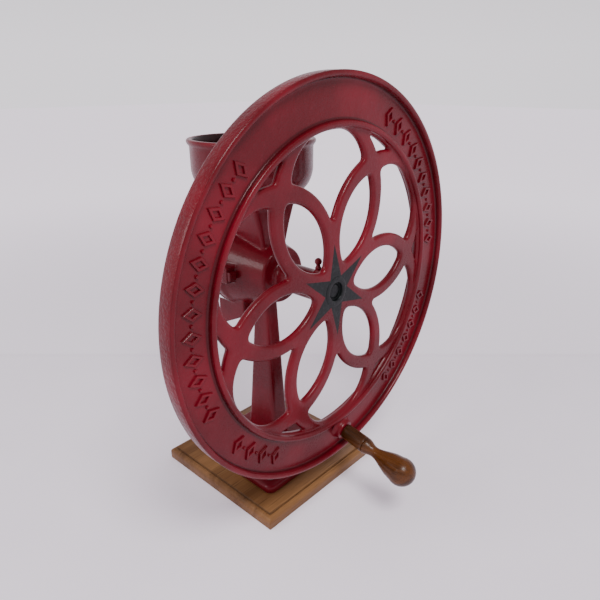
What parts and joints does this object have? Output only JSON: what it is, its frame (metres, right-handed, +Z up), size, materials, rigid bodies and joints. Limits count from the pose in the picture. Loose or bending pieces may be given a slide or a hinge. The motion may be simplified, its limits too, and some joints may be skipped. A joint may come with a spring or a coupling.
{
  "type": "hand-cranked grain mill",
  "caption": "Hand-cranked iron grain mill on a square wooden board: spoked flywheel with a wooden crank handle, round hopper, feed screw and a pair of grinding burrs.",
  "frame": {"origin": "centre of the board's underside, on the table", "axes": "+Z up; -Y towards the flywheel and the crank handle; +Y towards the burr cover; X across, along the wheel's plane"},
  "size_m": [0.495, 0.3626, 0.5655],
  "materials": {
    "red_paint": "glossy dark red enamel on cast iron",
    "steel": "turned steel",
    "dark_steel": "dull fastener steel",
    "bare_iron": "bare hard iron",
    "bronze": "bearing bronze",
    "board_wood": "satin varnished board",
    "handle_wood": "dark polished turned wood"
  },
  "bodies": {
    "stand": {"base_board": "board_wood", "mill_frame": "red_paint", "hopper": "red_paint", "rear_cover": "red_paint", "front_bushing": "bronze", "rear_bushing": "bronze", "fixed_burr": "bare_iron", "hopper_screw_left": "dark_steel", "hopper_screw_right": "dark_steel", "fixed_burr_screw_left": "dark_steel", "fixed_burr_screw_right": "dark_steel", "cover_bolt_left": "red_paint", "cover_bolt_right": "red_paint", "cover_nut_left": "dark_steel", "cover_nut_right": "dark_steel", "foot_screw_front_left": "dark_steel", "foot_screw_front_right": "dark_steel", "foot_screw_rear_left": "dark_steel", "foot_screw_rear_right": "dark_steel", "foot_washer_front_left": "steel", "foot_washer_front_right": "steel", "foot_washer_rear_left": "steel", "foot_washer_rear_right": "steel"},
    "thrust_button": {"thrust_button": "steel"},
    "rotor": {"flywheel": "red_paint", "main_shaft": "steel", "feed_auger": "bare_iron", "turning_burr": "bare_iron", "burr_carrier": "bare_iron", "turning_burr_screw_left": "dark_steel", "turning_burr_screw_right": "dark_steel", "wheel_key": "steel", "wheel_set_screw": "dark_steel", "crank_pin": "steel", "crank_pin_washer": "steel", "crank_pin_nut": "dark_steel"},
    "crank_handle": {"crank_sleeve": "handle_wood", "crank_grip": "handle_wood"},
    "adjusting_screw": {"adjusting_screw": "steel"},
    "lock_nut": {"adjusting_lock_nut": "dark_steel"},
    "oil_plug": {"oil_plug": "red_paint"}
  },
  "joints": [
    {"name": "burr_gap", "type": "slide", "parent": "stand", "child": "thrust_button", "axis": [0, 1, 0], "range_m": [0, 0.0015]},
    {"name": "flywheel_spin", "type": "hinge", "parent": "thrust_button", "child": "rotor", "pos_m": [0, -0.034, 0.318], "axis": [0, 1, 0], "continuous": true},
    {"name": "crank_handle_spin", "type": "hinge", "parent": "rotor", "child": "crank_handle", "pos_m": [0.01995, -0.132, 0.10292], "axis": [0.0208, -0.9744, -0.224], "continuous": true},
    {"name": "adjusting_screw_turn", "type": "hinge", "parent": "thrust_button", "child": "adjusting_screw", "pos_m": [0, 0.09, 0.318], "axis": [0, 1, 0], "range_deg": [0, 361]},
    {"name": "lock_nut_turn", "type": "hinge", "parent": "stand", "child": "lock_nut", "pos_m": [0, 0.08, 0.318], "axis": [0, 1, 0], "range_deg": [0, 90]},
    {"name": "oil_plug_lift", "type": "slide", "parent": "stand", "child": "oil_plug", "axis": [0, 0, 1], "range_m": [0, 0.012]}
  ],
  "couplings": [
    {"joint": "adjusting_screw_turn", "follows": "burr_gap", "rad_per_m": 4188.8}
  ]
}
